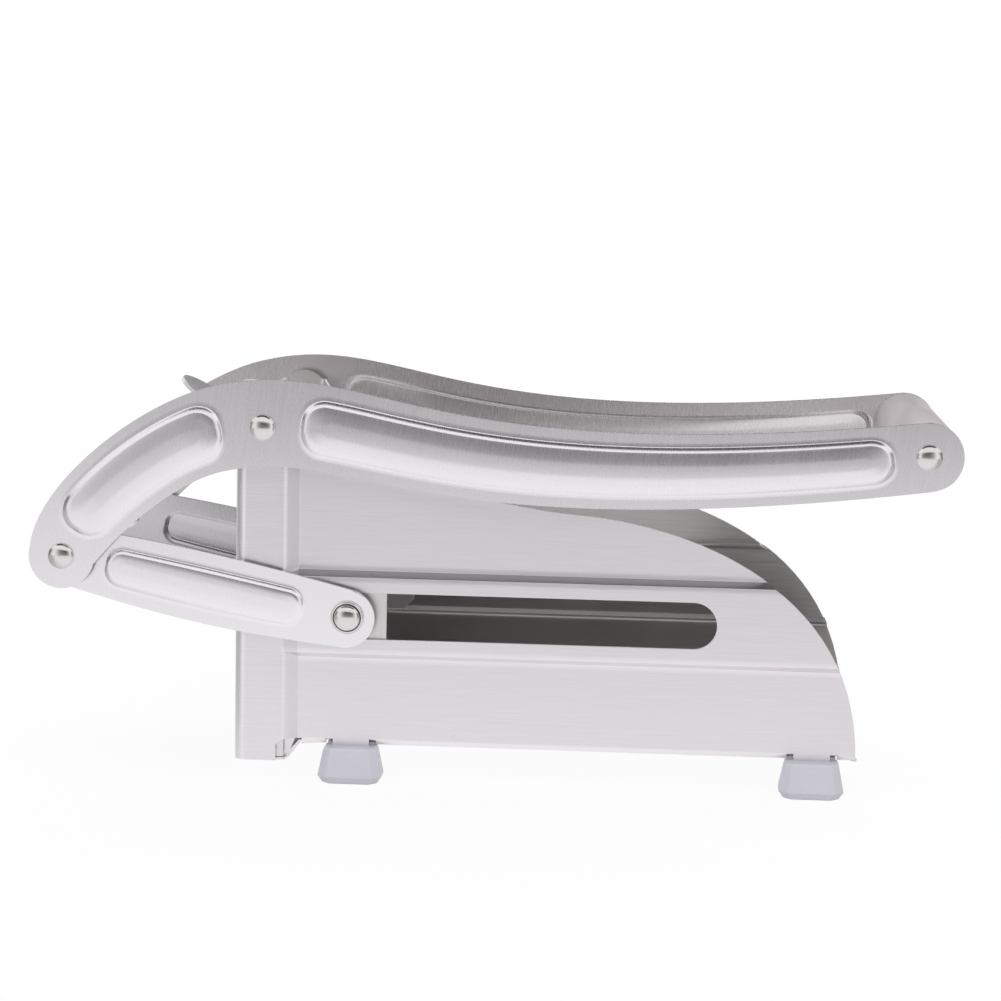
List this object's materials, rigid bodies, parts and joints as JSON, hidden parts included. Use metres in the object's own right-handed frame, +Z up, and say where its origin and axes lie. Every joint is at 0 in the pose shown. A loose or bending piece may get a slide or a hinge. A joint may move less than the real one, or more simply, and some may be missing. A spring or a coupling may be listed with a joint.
{
  "type": "french fry cutter",
  "caption": "Steel lever press that pushes a potato through a square blade grid: open trough, curved double-arm lever, links and sliding pusher.",
  "frame": {"origin": "on the table, under the middle of the whole part with the lever down", "axes": "+X from the blade end towards the hand grip, +Y across the part, +Z up"},
  "size_m": [0.2622, 0.1, 0.1159],
  "materials": {
    "trough_steel": "brushed along the length",
    "arm_steel": "brushed across the strap",
    "link_steel": "satin",
    "grip_steel": "satin",
    "frame_steel": "satin",
    "carrier_steel": "satin",
    "blade_steel": "ground edges",
    "rivet_steel": "polished",
    "pusher_plastic": "moulded",
    "plug_plastic": "moulded",
    "foot_plastic": "moulded"
  },
  "bodies": {
    "trough": {"near_wall": "trough_steel", "far_wall": "trough_steel", "trough_floor": "trough_steel", "blade_seat": "trough_steel", "near_front_foot": "foot_plastic", "far_front_foot": "foot_plastic", "near_rear_foot": "foot_plastic", "far_rear_foot": "foot_plastic", "near_pivot_rivet": "rivet_steel", "far_pivot_rivet": "rivet_steel", "near_pivot_spacer": "rivet_steel", "far_pivot_spacer": "rivet_steel"},
    "lever": {"near_arm": "arm_steel", "far_arm": "arm_steel", "grip_tube": "grip_steel", "grip_rod": "rivet_steel", "near_grip_plug": "plug_plastic", "far_grip_plug": "plug_plastic", "near_crank_rivet": "rivet_steel", "far_crank_rivet": "rivet_steel"},
    "links": {"near_link": "link_steel", "far_link": "link_steel", "near_link_bush": "rivet_steel", "far_link_bush": "rivet_steel"},
    "pusher": {"pusher_block": "pusher_plastic", "pusher_carrier": "carrier_steel", "slot_shaft": "rivet_steel", "carrier_screws": "rivet_steel", "near_slot_roller": "pusher_plastic", "far_slot_roller": "pusher_plastic", "near_shaft_ring": "rivet_steel", "far_shaft_ring": "rivet_steel"},
    "blade": {"blade_frame": "frame_steel", "vertical_blade_1": "blade_steel", "vertical_blade_2": "blade_steel", "vertical_blade_3": "blade_steel", "vertical_blade_4": "blade_steel", "vertical_blade_5": "blade_steel", "horizontal_blade_1": "blade_steel", "horizontal_blade_2": "blade_steel", "horizontal_blade_3": "blade_steel", "horizontal_blade_4": "blade_steel", "horizontal_blade_5": "blade_steel"}
  },
  "joints": [
    {"name": "lever_lift", "type": "hinge", "parent": "trough", "child": "lever", "pos_m": [-0.0645, 0, 0.1025], "axis": [0, -1, 0], "range_deg": [0, 91]},
    {"name": "pusher_slide", "type": "slide", "parent": "trough", "child": "pusher", "axis": [1, 0, 0], "range_m": [0, 0.098]},
    {"name": "link_swing", "type": "hinge", "parent": "pusher", "child": "links", "pos_m": [-0.0403, 0, 0.04865], "axis": [0, -1, 0], "range_deg": [0, 12.9]},
    {"name": "blade_lift", "type": "slide", "parent": "trough", "child": "blade", "axis": [0, 0, 1], "range_m": [0, 0.1]}
  ],
  "couplings": [
    {"joint": "pusher_slide", "follows": "lever_lift", "m_per_rad": 0.061607},
    {"joint": "link_swing", "follows": "lever_lift", "ratio": 0.14121}
  ]
}
